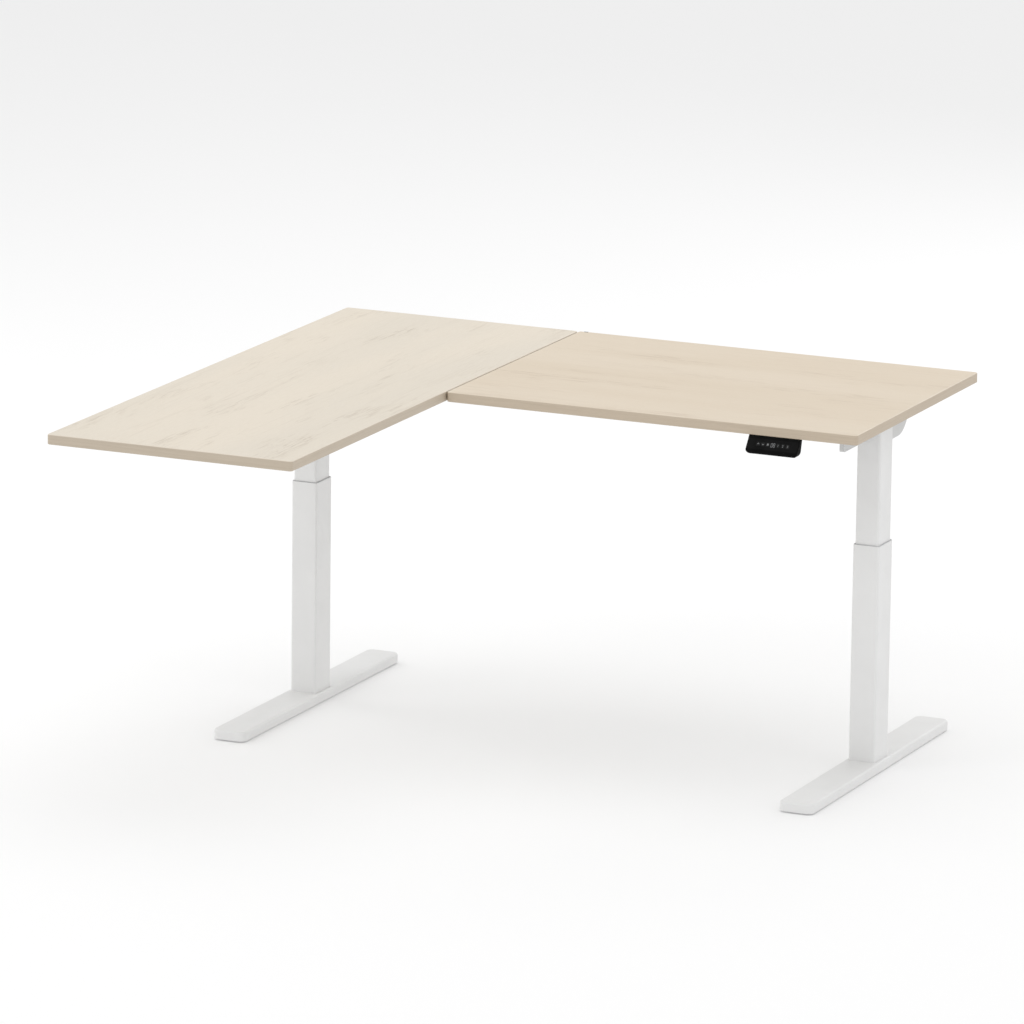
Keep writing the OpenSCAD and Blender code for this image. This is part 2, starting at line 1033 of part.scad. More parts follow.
module control_board() {
    color(board_green)
        in_box()
            translate([0, 0, box_bottom + box_wall + post_h])
                union() {
                    for (p = board_posts)
                        translate([p[0], p[1], -post_h])
                            cylinder(d = post_d, h = post_h + eps);
                    board_block(board_area, board_t);
                    board_block(board_wing, board_t);
                    board_block(transformer, transformer[4]);
                    board_block(heat_sink, heat_sink[4]);
                    for (x = capacitor_x)
                        translate([x, capacitor_y, 0])
                            cylinder(d = capacitor_d, h = capacitor_h);
                    for (x = socket_x)
                        board_block([x - socket_w / 2 - header_side, -box_d / 2 + plug_out,
                                     socket_w + 2 * header_side, header_d], header_h);
                }
}

module mains_inlet() {
    y0 = -box_d / 2 - overlap;
    color(black)
        in_box()
            difference() {
                translate([inlet_x - inlet_w / 2, y0, inlet_z - inlet_h / 2])
                    cube([inlet_w, inlet_depth, inlet_h]);
                difference() {
                    translate([inlet_x, y0 - overlap, inlet_z])
                        rotate([-90, 0, 0])
                            linear_extrude(height = inlet_hole_depth + overlap)
                                slot(inlet_hole_w, inlet_hole_h);
                    for (s = [-1, 1])
                        translate([inlet_x + s * pin_pitch / 2, y0 + inlet_hole_depth - pin_len,
                                   inlet_z])
                            rotate([-90, 0, 0])
                                cylinder(d = pin_d, h = pin_len + overlap);
                }
            }
}

// ---------- leads ----------

function unit(v) = v / norm(v);

// Puts children in the frame with this origin and these three unit axes
module frame_from(p, ax, ay, az) {
    multmatrix([
        [ax[0], ay[0], az[0], p[0]],
        [ax[1], ay[1], az[1], p[1]],
        [ax[2], ay[2], az[2], p[2]],
        [0, 0, 0, 1]
    ])
        children();
}

// Straight lengths and round bends through points that turn only at right angles
module lead(points) {
    last = len(points) - 1;
    for (i = [0 : last - 1]) {
        dir = unit(points[i + 1] - points[i]);
        start = points[i] + (i > 0 ? lead_r : 0) * dir;
        end = points[i + 1] - (i < last - 1 ? lead_r : 0) * dir;
        side = abs(dir[2]) > 0.5 ? [1, 0, 0] : [0, 0, 1];
        frame_from(start, side, cross(dir, side), dir)
            cylinder(d = lead_d, h = norm(end - start));
    }
    for (i = [1 : last - 1]) {
        into = unit(points[i] - points[i - 1]);
        out = unit(points[i + 1] - points[i]);
        frame_from(points[i] - lead_r * into + lead_r * out, -out, into, cross(-out, into))
            rotate_extrude(angle = 90)
                translate([lead_r, 0])
                    circle(d = lead_d);
    }
}

// Where a lead enters the plug in socket i
function plug_entry(i) = [box_x + socket_x[i], box_y - box_d / 2 - plug_out, lead_z];

module plug(i) {
    p = plug_entry(i);
    translate([p[0] - socket_w / 2 + plug_gap, p[1], p[2] - socket_h / 2 + plug_gap])
        cube([socket_w - 2 * plug_gap, 2 * plug_out, socket_h - 2 * plug_gap]);
}

module motor_leads() {
    left_plug = plug_entry(left_socket);
    right_plug = plug_entry(right_socket);
    color(black) {
        union() {
            lead([
                [left_x + terminal_w / 2, leg_y, lead_z],
                [left_x + lead_turn, leg_y, lead_z],
                [left_x + lead_turn, lead_beam_y, lead_z],
                [left_x + lead_turn, lead_beam_y, lead_under_z],
                [left_plug[0], lead_beam_y, lead_under_z],
                [left_plug[0], lead_beam_y, lead_z],
                left_plug
            ]);
            plug(left_socket);
        }
        union() {
            lead([
                [right_x - terminal_w / 2, leg_y, lead_z],
                [right_x - lead_turn, leg_y, lead_z],
                [right_x - lead_turn, right_lead_y, lead_z],
                [right_plug[0], right_lead_y, lead_z],
                right_plug
            ]);
            plug(right_socket);
        }
    }
}

module handset_lead() {
    handset_plug = plug_entry(handset_socket);
    color(black)
        union() {
            lead([
                [handset_x, y_main + handset_lead_in, lead_z],
                [handset_x, handset_lead_y, lead_z],
                [handset_plug[0], handset_lead_y, lead_z],
                handset_plug
            ]);
            plug(handset_socket);
        }
}

// Block that holds a lead running along X, from the face behind it at y = 0
module beam_clip() {
    reach = lead_beam_y - leg_y - beam_w / 2;
    difference() {
        translate([-clip_w / 2, 0, -lead_d / 2 - clip_t])
            cube([clip_w, reach + lead_d / 2 + clip_t, lead_d + 2 * clip_t]);
        translate([-clip_w / 2 - overlap, reach, 0])
            rotate([0, 90, 0])
                cylinder(d = lead_d, h = clip_w + 2 * overlap);
    }
}

// Block that hangs a lead running along X from the underside of the worktop
module top_clip() {
    width = lead_d + 2 * clip_t;
    difference() {
        translate([-clip_w / 2, -width / 2, -lead_d / 2 - clip_t])
            cube([clip_w, width, under_z - lead_z + lead_d / 2 + clip_t]);
        translate([-clip_w / 2 - overlap, 0, 0])
            rotate([0, 90, 0])
                cylinder(d = lead_d, h = clip_w + 2 * overlap);
    }
}

module lead_clips() {
    color(black) {
        for (x = beam_clip_x)
            translate([x, leg_y + beam_w / 2, lead_under_z])
                beam_clip();
        for (x = right_clip_x)
            translate([x, right_lead_y, lead_z])
                top_clip();
        for (y = handset_clip_y)
            translate([handset_x, y, lead_z])
                rotate([0, 0, 90])
                    top_clip();
    }
}

// ---------- handset ----------

// Frame of the sloping face: X along it, Z up it, -Y straight out of it
module on_face() {
    translate([handset_x, y_main + face_top, under_z])
        rotate([-face_tilt, 0, 0])
            children();
}

// Plate parallel to the face, from depth y0 to depth y1, centred at x and at height z
module face_plate(x, z, w, h, r, y0, y1) {
    translate([x, y1, z])
        rotate([90, 0, 0])
            linear_extrude(height = y1 - y0)
                round_rect(w, h, r);
}

// Side outline of the handset, in Y and Z from the lower front edge of the worktop
module handset_side() {
    polygon(concat(
        [[handset_top_d, 0], [face_top, 0]],
        [for (i = [0 : arc_steps])
            let (a = 180 - face_tilt + i * (90 + face_tilt) / arc_steps)
            [nose_y + nose_r * cos(a), nose_r - handset_drop + nose_r * sin(a)]],
        [[handset_foot_d, -handset_drop]]
    ));
}

// Front outline of the handset, with round lower corners
module handset_front() {
    translate([-handset_w / 2, handset_r - handset_drop])
        square([handset_w, handset_drop - handset_r]);
    translate([handset_r - handset_w / 2, -handset_drop])
        square([handset_w - 2 * handset_r, handset_drop]);
    for (s = [-1, 1])
        translate([s * (handset_w / 2 - handset_r), handset_r - handset_drop])
            circle(r = handset_r);
}

// Case with a thin tongue behind it that is screwed up under the worktop
module handset_case() {
    color(black)
        difference() {
            union() {
                intersection() {
                    translate([handset_x, y_main, under_z])
                        along_x(handset_w)
                            handset_side();
                    translate([handset_x, y_main + handset_top_d + overlap, under_z])
                        rotate([90, 0, 0])
                            linear_extrude(height = 2 * handset_drop)
                                handset_front();
                }
                translate([handset_x, y_main + tongue_d / 2, under_z - tongue_t])
                    linear_extrude(height = tongue_t)
                        round_rect(tongue_w, tongue_d - 2 * face_top, tongue_t);
            }
            on_face() {
                face_plate(0, panel_z, panel_w, panel_h, panel_r, -overlap, panel_t);
                face_plate(0, panel_z, cavity_w, cavity_h, cavity_r, panel_t - eps, cavity_depth);
            }
            translate([handset_x, y_main - overlap, lead_z])
                rotate([-90, 0, 0])
                    cylinder(d = lead_d, h = handset_top_d + 2 * overlap);
            screw_shanks();
        }
}

module handset_panel() {
    color(dark)
        on_face()
            difference() {
                face_plate(0, panel_z, panel_w, panel_h, panel_r, 0, panel_t);
                for (x = key_x)
                    face_plate(x, key_z, key_w + 2 * key_gap, key_h + 2 * key_gap,
                               key_r + key_gap, -overlap, panel_t + overlap);
                face_plate(0, key_z, display_w, display_h, key_r, -overlap, display_depth);
            }
}

module handset_board() {
    color(board_green)
        on_face()
            union() {
                face_plate(0, panel_z, cavity_w - 2 * key_board_in, cavity_h - 2 * key_board_in,
                           cavity_r, key_board_y, key_board_y + board_t);
                for (x = key_x)
                    translate([x, key_board_y + eps, key_z])
                        rotate([90, 0, 0])
                            cylinder(d = switch_d, h = switch_h + eps);
                for (sx = [-1, 1], sz = [-1, 1])
                    translate([sx * (cavity_w / 2 - pillar_in_x), cavity_depth,
                               panel_z + sz * (cavity_h / 2 - pillar_in_z)])
                        rotate([90, 0, 0])
                            cylinder(d = pillar_d, h = pillar_len + eps);
            }
}

// index counts the keys from left to right
module key(index) {
    x = key_x[index];
    color(dark)
        on_face()
            union() {
                face_plate(x, key_z, key_w, key_h, key_r, -key_proud, panel_t + flange_back + eps);
                face_plate(x, key_z, key_w + 2 * key_lip, key_h + 2 * key_lip, key_r,
                           panel_t + flange_back, panel_t + flange_back + key_flange);
            }
}

return_top();
main_top();
return_edge_band();
main_edge_band();
back_cable_clip();
foot(-1);  // left_foot
outer_column(-1);  // left_outer_column
upper_glide(-1);  // left_upper_glide
nut_tube(-1);  // left_nut_tube
drive_nut(-1);  // left_drive_nut
base_bolts(-1);  // left_base_bolts
leveller(-1, -1);  // left_front_leveller
leveller(-1, 1);  // left_rear_leveller
foot(1);  // right_foot
outer_column(1);  // right_outer_column
upper_glide(1);  // right_upper_glide
nut_tube(1);  // right_nut_tube
drive_nut(1);  // right_drive_nut
base_bolts(1);  // right_base_bolts
leveller(1, -1);  // right_front_leveller
leveller(1, 1);  // right_rear_leveller
inner_column(-1);  // left_inner_column
lower_glides(-1);  // left_lower_glides
motor(-1);  // left_motor
gearbox(-1);  // left_gearbox
thrust_bearing(-1);  // left_thrust_bearing
coupling(-1);  // left_coupling
spindle(-1);  // left_spindle
side_bracket(-1);  // left_side_bracket
inner_column(1);  // right_inner_column
lower_glides(1);  // right_lower_glides
motor(1);  // right_motor
gearbox(1);  // right_gearbox
thrust_bearing(1);  // right_thrust_bearing
coupling(1);  // right_coupling
spindle(1);  // right_spindle
side_bracket(1);  // right_side_bracket
crossbeam_left();
crossbeam_right();
crossbeam_core();
support_rails();
seam_plates();
top_screws();
frame_bolts();
control_box_shell();
control_box_lid();
control_board();
mains_inlet();
motor_leads();
handset_lead();
lead_clips();
handset_case();
handset_panel();
handset_board();
key(0);  // key_up
key(1);  // key_down
key(2);  // key_memory
key(3);  // key_one
key(4);  // key_two
key(5);  // key_three
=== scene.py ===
"""Looks for the height adjustable L-shaped desk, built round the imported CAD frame. Metres."""
import math

import bmesh
import bpy
from mathutils import Matrix, Vector


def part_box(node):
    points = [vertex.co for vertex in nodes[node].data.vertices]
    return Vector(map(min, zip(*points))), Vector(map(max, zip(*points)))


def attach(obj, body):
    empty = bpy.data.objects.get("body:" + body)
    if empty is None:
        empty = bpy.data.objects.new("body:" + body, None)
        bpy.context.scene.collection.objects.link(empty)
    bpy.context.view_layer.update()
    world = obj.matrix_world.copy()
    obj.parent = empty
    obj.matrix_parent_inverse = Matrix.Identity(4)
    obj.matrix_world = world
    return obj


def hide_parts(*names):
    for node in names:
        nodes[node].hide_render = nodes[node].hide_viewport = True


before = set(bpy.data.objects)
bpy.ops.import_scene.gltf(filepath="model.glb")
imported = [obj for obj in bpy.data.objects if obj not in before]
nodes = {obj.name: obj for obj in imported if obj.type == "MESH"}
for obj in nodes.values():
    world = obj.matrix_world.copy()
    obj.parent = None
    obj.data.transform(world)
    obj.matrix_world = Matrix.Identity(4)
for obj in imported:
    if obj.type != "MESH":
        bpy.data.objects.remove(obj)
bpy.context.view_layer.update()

MM = 0.001
SIDES = ("left", "right")


# ---------- materials ----------

class Finish:
    """A procedural material made from the piece's own coordinates, in metres."""

    def __init__(self, name, roughness=0.5, metallic=0.0, specular=0.5, coat=0.0):
        self.material = bpy.data.materials.new(name)
        self.material.use_nodes = True
        self.tree = self.material.node_tree
        self.tree.nodes.clear()
        output = self.tree.nodes.new("ShaderNodeOutputMaterial")
        self.shader = self.tree.nodes.new("ShaderNodeBsdfPrincipled")
        self.link(self.shader.outputs["BSDF"], output.inputs["Surface"])
        self.set("Roughness", roughness)
        self.set("Metallic", metallic)
        self.set("Specular IOR Level", specular)
        self.set("Coat Weight", coat)
        self.set("Coat Roughness", 0.1)
        self.place = self.tree.nodes.new("ShaderNodeTexCoord").outputs["Object"]

    def link(self, a, b):
        self.tree.links.new(a, b)

    def set(self, socket, value):
        if isinstance(value, bpy.types.NodeSocket):
            self.link(value, self.shader.inputs[socket])
        else:
            self.shader.inputs[socket].default_value = value

    def stretched(self, x, y, z):
        """The place, scaled: a number is how many features there are in a metre along that axis."""
        node = self.tree.nodes.new("ShaderNodeMapping")
        node.vector_type = "POINT"
        node.inputs["Scale"].default_value = (x, y, z)
        self.link(self.place, node.inputs["Vector"])
        return node.outputs["Vector"]

    def noise(self, vector, detail=3.0, roughness=0.55, distortion=0.0):
        node = self.tree.nodes.new("ShaderNodeTexNoise")
        node.inputs["Scale"].default_value = 1.0
        node.inputs["Detail"].default_value = detail
        node.inputs["Roughness"].default_value = roughness
        node.inputs["Distortion"].default_value = distortion
        self.link(vector, node.inputs["Vector"])
        return node.outputs["Fac"]

    def span(self, value, low, high, to_low=0.0, to_high=1.0):
        node = self.tree.nodes.new("ShaderNodeMapRange")
        node.interpolation_type = "SMOOTHSTEP"
        ends = {"From Min": low, "From Max": high, "To Min": to_low, "To Max": to_high}
        for socket, number in ends.items():
            node.inputs[socket].default_value = number
        self.link(value, node.inputs["Value"])
        return node.outputs["Result"]

    def math(self, operation, a, b):
        node = self.tree.nodes.new("ShaderNodeMath")
        node.operation = operation
        for socket, value in zip(node.inputs, (a, b)):
            if isinstance(value, bpy.types.NodeSocket):
                self.link(value, socket)
            else:
                socket.default_value = value
        return node.outputs["Value"]

    def mix(self, factor, a, b):
        node = self.tree.nodes.new("ShaderNodeMix")
        node.data_type = "RGBA"
        for socket, value in ((node.inputs[0], factor), (node.inputs[6], a), (node.inputs[7], b)):
            if isinstance(value, bpy.types.NodeSocket):
                self.link(value, socket)
            else:
                socket.default_value = value if isinstance(value, float) else (*value, 1.0)
        return node.outputs[2]

    def axis(self, name):
        node = self.tree.nodes.new("ShaderNodeSeparateXYZ")
        self.link(self.place, node.inputs["Vector"])
        return node.outputs[name]

    def bump(self, height, strength, distance):
        node = self.tree.nodes.new("ShaderNodeBump")
        node.inputs["Strength"].default_value = strength
        node.inputs["Distance"].default_value = distance
        self.link(height, node.inputs["Height"])
        self.link(node.outputs["Normal"], self.shader.inputs["Normal"])


def laminate(name, along_y, pale, warm, streak, back):
    """Bleached timber laminate with streaky figure along one axis, and a plain backing underneath."""
    f = Finish(name, specular=0.35)

    def grain(across, along):
        return f.stretched(across, along, across) if along_y else f.stretched(along, across, across)

    broad = f.span(f.noise(grain(5, 0.9), 2.0), 0.3, 0.7)
    patches = f.span(f.noise(grain(13, 2.6), 3.0, 0.6, 0.4), 0.50, 0.68)
    lines = f.span(f.noise(grain(160, 12), 4.0, 0.62, 1.2), 0.46, 0.64)
    veins = f.span(f.noise(grain(48, 2.2), 3.0, 0.5, 1.8), 0.57, 0.70)
    fibres = f.noise(grain(1500, 45), 3.0, 0.6)
    figure = f.math("MULTIPLY", patches, lines)
    tone = f.mix(broad, pale, warm)
    tone = f.mix(f.math("MULTIPLY", veins, 0.14), tone, streak)
    tone = f.mix(f.math("MULTIPLY", figure, 0.70), tone, streak)
    tone = f.mix(f.span(fibres, 0.35, 0.75, 0.0, 0.16), tone, streak)
    below = f.span(f.axis("Z"), UNDER + 0.2 * MM, UNDER + 0.6 * MM, 1.0, 0.0)
    backing = f.mix(f.span(fibres, 0.3, 0.7), back, [c * 0.94 for c in back])
    f.set("Base Color", f.mix(below, tone, backing))
    f.set("Roughness", f.span(fibres, 0.3, 0.7, 0.46, 0.56))
    f.bump(f.math("ADD", fibres, f.math("MULTIPLY", figure, -0.6)), 0.12, 0.12 * MM)
    return f.material


def edging(name, arris_painted_light_tone, band_tone_and_painted_shade, streak):
    """Edge band: long thin grain; the side tone is partly the band's own darker tone and partly
    painted shade, and the rounded upper arris gets the worktop's lighter tone as painted light.
    """
    f = Finish(name, specular=0.4)
    lines = f.noise(f.stretched(7, 7, 900), 4.0, 0.6, 0.5)
    flecks = f.span(f.noise(f.stretched(60, 60, 1500), 3.0, 0.6), 0.52, 0.72)
    side = f.mix(f.span(lines, 0.35, 0.7, 0.0, 0.55), band_tone_and_painted_shade, streak)
    side = f.mix(f.math("MULTIPLY", flecks, 0.25), side, streak)
    # Painted light: where the band faces up it takes the worktop's lighter tone, while the side below
    # keeps the darker tone that holds painted shade.
    painted_light_mask = f.span(f.axis("Z"), TOP - 1.9 * MM, TOP - 0.4 * MM)
    arris = f.mix(f.span(lines, 0.4, 0.8, 0.0, 0.3), arris_painted_light_tone, streak)
    f.set("Base Color", f.mix(painted_light_mask, side, arris))
    f.set("Roughness", f.span(lines, 0.3, 0.7, 0.40, 0.50))
    f.bump(flecks, 0.10, 0.08 * MM)
    return f.material


def powder_coat(name, tone, roughness):
    """Baked powder paint: fine orange peel with a faint drift in tone and gloss."""
    f = Finish(name, specular=0.45)
    peel = f.noise(f.stretched(620, 620, 620), 2.5, 0.5)
    drift = f.noise(f.stretched(9, 9, 9), 3.0)
    specks = f.span(f.noise(f.stretched(2600, 2600, 2600), 2.0), 0.62, 0.78)
    shade = f.mix(f.span(drift, 0.3, 0.7), tone, [c * 0.975 for c in tone])
    f.set("Base Color", f.mix(f.math("MULTIPLY", specks, 0.10), shade, [c * 0.8 for c in tone]))
    f.set("Roughness", f.span(drift, 0.3, 0.7, roughness - 0.04, roughness + 0.05))
    f.bump(peel, 0.16, 0.12 * MM)
    return f.material


def moulding(name, tone, roughness, grain=2200, depth=0.05, specular=0.5):
    """Moulded plastic with a fine spark-eroded grain of that depth in mm."""
    f = Finish(name, specular=specular)
    pits = f.noise(f.stretched(grain, grain, grain), 3.0, 0.6)
    drift = f.noise(f.stretched(35, 35, 35), 3.0)
    lighter = [min(1.0, c * 1.25 + 0.002) for c in tone]
    f.set("Base Color", f.mix(f.span(drift, 0.3, 0.7), tone, lighter))
    uneven = f.math("ADD", pits, drift)
    f.set("Roughness", f.span(uneven, 0.7, 1.3, roughness - 0.05, roughness + 0.08))
    f.bump(pits, 0.35, depth * MM)
    return f.material


def metal(name, tone, roughness, brush):
    """Bare or plated metal with a brushed or turned grain and light staining."""
    f = Finish(name, metallic=1.0)
    lines = f.noise(f.stretched(*brush), 4.0, 0.65)
    stains = f.span(f.noise(f.stretched(60, 60, 60), 4.0, 0.6), 0.40, 0.75)
    f.set("Base Color", f.mix(stains, tone, [c * 0.8 for c in tone]))
    f.set("Roughness", f.span(lines, 0.25, 0.75, roughness - 0.08, roughness + 0.14))
    f.bump(lines, 0.15, 0.05 * MM)
    return f.material


def board_mask(name):
    """Green solder mask with fine track lines showing through."""
    f = Finish(name, specular=0.5, coat=0.4)
    across = f.span(f.noise(f.stretched(420, 26, 10), 1.0, 0.3), 0.52, 0.56)
    down = f.span(f.noise(f.stretched(26, 420, 10), 1.0, 0.3), 0.53, 0.57)
    tracks = f.math("MAXIMUM", across, down)
    weave = f.noise(f.stretched(2500, 2500, 2500), 2.0)
    shown = f.math("MULTIPLY", tracks, 0.6)
    f.set("Base Color", f.mix(shown, (0.012, 0.085, 0.040), (0.05, 0.19, 0.075)))
    f.set("Roughness", f.span(weave, 0.3, 0.7, 0.28, 0.40))
    f.bump(tracks, 0.3, 0.05 * MM)
    return f.material


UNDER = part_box("main_top")[0].z
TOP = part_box("main_top")[1].z

BACKING = (0.62, 0.585, 0.53)
RETURN = laminate("return_laminate", True,
                  (0.735, 0.665, 0.560), (0.700, 0.640, 0.545), (0.52, 0.45, 0.36), BACKING)
MAIN = laminate("main_laminate", False,
                (0.695, 0.603, 0.482), (0.667, 0.570, 0.445), (0.55, 0.45, 0.34), BACKING)
# Edge band tones: the worktop's lighter tone for the upper arris (painted light), the side tone
# (partly the band's own, partly painted shade), then the streaks.
BAND_RETURN = edging("return_edging",
                     (0.72, 0.65, 0.55), (0.545, 0.468, 0.372), (0.45, 0.38, 0.295))
BAND_MAIN = edging("main_edging",
                   (0.70, 0.615, 0.495), (0.545, 0.458, 0.355), (0.45, 0.37, 0.28))
WHITE = powder_coat("white_powder_coat", (0.79, 0.79, 0.785), 0.42)
# Side brackets: a darker grey than the white frame, painted shade standing in for the shadow under the
# worktop.
BRACKET_PAINTED_SHADE = powder_coat("bracket_coat_painted_shade", (0.64, 0.64, 0.635), 0.42)
GLIDE = moulding("glide_plastic", (0.48, 0.485, 0.49), 0.5)
BLACK = moulding("black_moulding", (0.012, 0.012, 0.013), 0.50, specular=0.25)
HANDSET = moulding("handset_moulding", (0.003, 0.003, 0.003), 0.55,
                   grain=2600, depth=0.03, specular=0.04)
PANEL = moulding("handset_panel_gloss", (0.003, 0.003, 0.003), 0.30,
                 grain=900, depth=0.01, specular=0.07)
KEY = moulding("key_plastic", (0.006, 0.006, 0.006), 0.42,
               grain=3000, depth=0.02, specular=0.12)
LENS = moulding("display_lens", (0.002, 0.002, 0.003), 0.14,
                grain=600, depth=0.004, specular=0.18)
LEGEND = moulding("legend_print", (0.17, 0.172, 0.175), 0.5, grain=4000, depth=0.01)
PAD = moulding("pad_plastic", (0.030, 0.030, 0.031), 0.55, grain=1500)
RUBBER = moulding("lead_sheath", (0.013, 0.013, 0.013), 0.55,
                  grain=1200, depth=0.04, specular=0.35)
STEEL = metal("plated_steel", (0.60, 0.61, 0.62), 0.32, (900, 900, 60))
BRONZE = metal("nut_bronze", (0.60, 0.42, 0.20), 0.34, (200, 200, 1200))
CASTING = metal("cast_aluminium", (0.55, 0.56, 0.57), 0.48, (500, 500, 500))
CAN = powder_coat("motor_can_paint", (0.055, 0.057, 0.06), 0.45)
BOARD = board_mask("circuit_board")


# ---------- CAD nodes: softened edges and finishes ----------

def edge_shading():
    """Node group that drops imported normals and marks edges sharp from 35 degrees."""
    group = bpy.data.node_groups.new("edge_shading", "GeometryNodeTree")
    group.interface.new_socket("Geometry", in_out="INPUT", socket_type="NodeSocketGeometry")
    group.interface.new_socket("Geometry", in_out="OUTPUT", socket_type="NodeSocketGeometry")
    start, end = group.nodes.new("NodeGroupInput"), group.nodes.new("NodeGroupOutput")
    drop = group.nodes.new("GeometryNodeRemoveAttribute")
    drop.inputs["Name"].default_value = "custom_normal"
    faces = group.nodes.new("GeometryNodeSetShadeSmooth")
    faces.domain = "FACE"
    edges = group.nodes.new("GeometryNodeSetShadeSmooth")
    edges.domain = "EDGE"
    edges.inputs["Shade Smooth"].default_value = False
    angle = group.nodes.new("GeometryNodeInputMeshEdgeAngle")
    steep = group.nodes.new("FunctionNodeCompare")
    steep.operation = "GREATER_THAN"
    steep.inputs["B"].default_value = math.radians(35)
    link = group.links.new
    link(start.outputs["Geometry"], drop.inputs["Geometry"])
    link(drop.outputs["Geometry"], faces.inputs["Geometry"])
    link(faces.outputs["Geometry"], edges.inputs["Geometry"])
    link(angle.outputs["Unsigned Angle"], steep.inputs["A"])
    link(steep.outputs["Result"], edges.inputs["Selection"])
    link(edges.outputs["Geometry"], end.inputs["Geometry"])
    return group


SHADING = edge_shading()


def finish_shading(piece):
    shade = piece.modifiers.new("edge_shading", "NODES")
    shade.node_group = SHADING
    even = piece.modifiers.new("even_normals", "WEIGHTED_NORMAL")
    even.keep_sharp = True
    even.weight = 90


def coat(name, material):
    """Gives a CAD node its finish and welds the seams of its imported mesh."""
    node = nodes[name]
    node.data.materials.clear()
    node.data.materials.append(material)
    weld = node.modifiers.new("weld", "WELD")
    weld.merge_threshold = 0.002 * MM
    return node


def merge_flats(node):
    """Joins coplanar triangles, so that a wide bevel has whole faces to run over."""
    merge = node.modifiers.new("merge_flats", "DECIMATE")
    merge.decimate_type = "DISSOLVE"
    merge.angle_limit = math.radians(0.5)


def soften(node, width, segments=2, where=None):
    """Bevel of that width in mm, on all sharp edges or where where() holds for both ends."""
    bevel = node.modifiers.new("bevel", "BEVEL")
    bevel.width = width * MM
    bevel.segments = segments
    if where:
        group = node.vertex_groups.new(name="soft")
        group.add([v.index for v in node.data.vertices if where(v.co)], 1.0, "REPLACE")
        bevel.limit_method = "VGROUP"
        bevel.vertex_group = group.name
    else:
        bevel.limit_method = "ANGLE"
        bevel.angle_limit = math.radians(38)


def dress(name, material, width=0.0, segments=2):
    """Finish, bevel of that width in mm if any, and shading of one CAD node."""
    node = coat(name, material)
    if width:
        soften(node, width, segments)
    finish_shading(node)


def outline_test(name, level, radius):
    """Test for a vertex at that height on a node's outer, rounded rectangular outline."""
    low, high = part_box(name)
    middle = (low + high) / 2
    half = (high - low) / 2

    def test(v):
        inside_x = half.x - abs(v.x - middle.x)
        inside_y = half.y - abs(v.y - middle.y)
        corner = math.hypot(max(0, radius - inside_x), max(0, radius - inside_y))
        return abs(v.z - level) < 0.05 * MM and corner > radius - 0.2 * MM

    return test


FOOT_R = 18 * MM

dress("return_top", RETURN)
dress("main_top", MAIN)
dress("back_cable_clip", BLACK, 0.5)
for side in SIDES:
    foot = side + "_foot"
    low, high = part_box(foot)
    merge_flats(coat(foot, WHITE))
    soften(nodes[foot], 5.5, 8, outline_test(foot, high.z, FOOT_R))
    soften(nodes[foot], 2.0, 4, outline_test(foot, low.z, FOOT_R))
    finish_shading(nodes[foot])
    dress(side + "_outer_column", WHITE, 0.9, 3)
    dress(side + "_upper_glide", GLIDE, 0.4)
    dress(side + "_nut_tube", STEEL, 0.4)
    dress(side + "_drive_nut", BRONZE, 0.5)
    dress(side + "_base_bolts", STEEL, 0.5)
    dress(side + "_front_leveller", PAD, 0.4)
    dress(side + "_rear_leveller", PAD, 0.4)
    dress(side + "_inner_column", WHITE, 0.4)
    dress(side + "_lower_glides", GLIDE, 0.4)
    dress(side + "_motor", CAN, 1.0, 3)
    dress(side + "_gearbox", CASTING, 0.6)
    dress(side + "_thrust_bearing", STEEL, 0.5)
    dress(side + "_coupling", STEEL, 0.5)
    dress(side + "_spindle", STEEL, 0.4)
    # The side brackets wear the darker coat: painted shade under the worktop.
    dress(side + "_side_bracket", BRACKET_PAINTED_SHADE)
for part in ("crossbeam_left", "crossbeam_right", "crossbeam_core"):
    dress(part, WHITE, 0.9, 3)
dress("support_rails", WHITE, 0.6)
dress("seam_plates", STEEL, 0.4)
dress("top_screws", STEEL, 0.35)
dress("frame_bolts", STEEL, 0.4)
dress("control_box_shell", BLACK, 0.8, 3)
dress("control_box_lid", BLACK, 0.6)
dress("control_board", BOARD, 0.2)
dress("mains_inlet", BLACK, 0.3)
dress("motor_leads", RUBBER, 0.4)
dress("handset_lead", RUBBER, 0.4)
dress("lead_clips", BLACK, 0.4)
dress("handset_case", HANDSET, 0.7, 3)
dress("handset_panel", PANEL, 0.25)
dress("handset_board", BOARD, 0.2)
KEYS = ("key_up", "key_down", "key_memory", "key_one", "key_two", "key_three")
for name in KEYS:
    dress(name, KEY, 0.3, 3)


# ---------- new pieces ----------

def piece_from(name, bm, material, body):
    """A new piece made from a bmesh, riding that body."""
    bmesh.ops.recalc_face_normals(bm, faces=bm.faces)
    mesh = bpy.data.meshes.new(name)
    bm.to_mesh(mesh)
    bm.free()
    mesh.materials.append(material)
    piece = bpy.data.objects.new(name, mesh)
    bpy.context.scene.collection.objects.link(piece)
    finish_shading(piece)
    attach(piece, body)
    return piece


def stations(low, high, radius, steps=10):
    """Points and outward directions round a rectangle with rounded corners."""
    made = []
    corners = ((high.x, high.y), (low.x, high.y), (low.x, low.y), (high.x, low.y))
    for number, (x, y) in enumerate(corners):
        centre = Vector((x - math.copysign(radius, x - (low.x + high.x) / 2),
                         y - math.copysign(radius, y - (low.y + high.y) / 2)))
        for step in range(steps + 1):
            turn = math.radians(90 * (number + step / steps))
            out = Vector((math.cos(turn), math.sin(turn)))
            made.append((centre + radius * out, out))
    return made


TOP_R = 8 * MM
BAND_T = 3 * MM
UPPER_ARRIS = 2.6 * MM
LOWER_ARRIS = 2.2 * MM


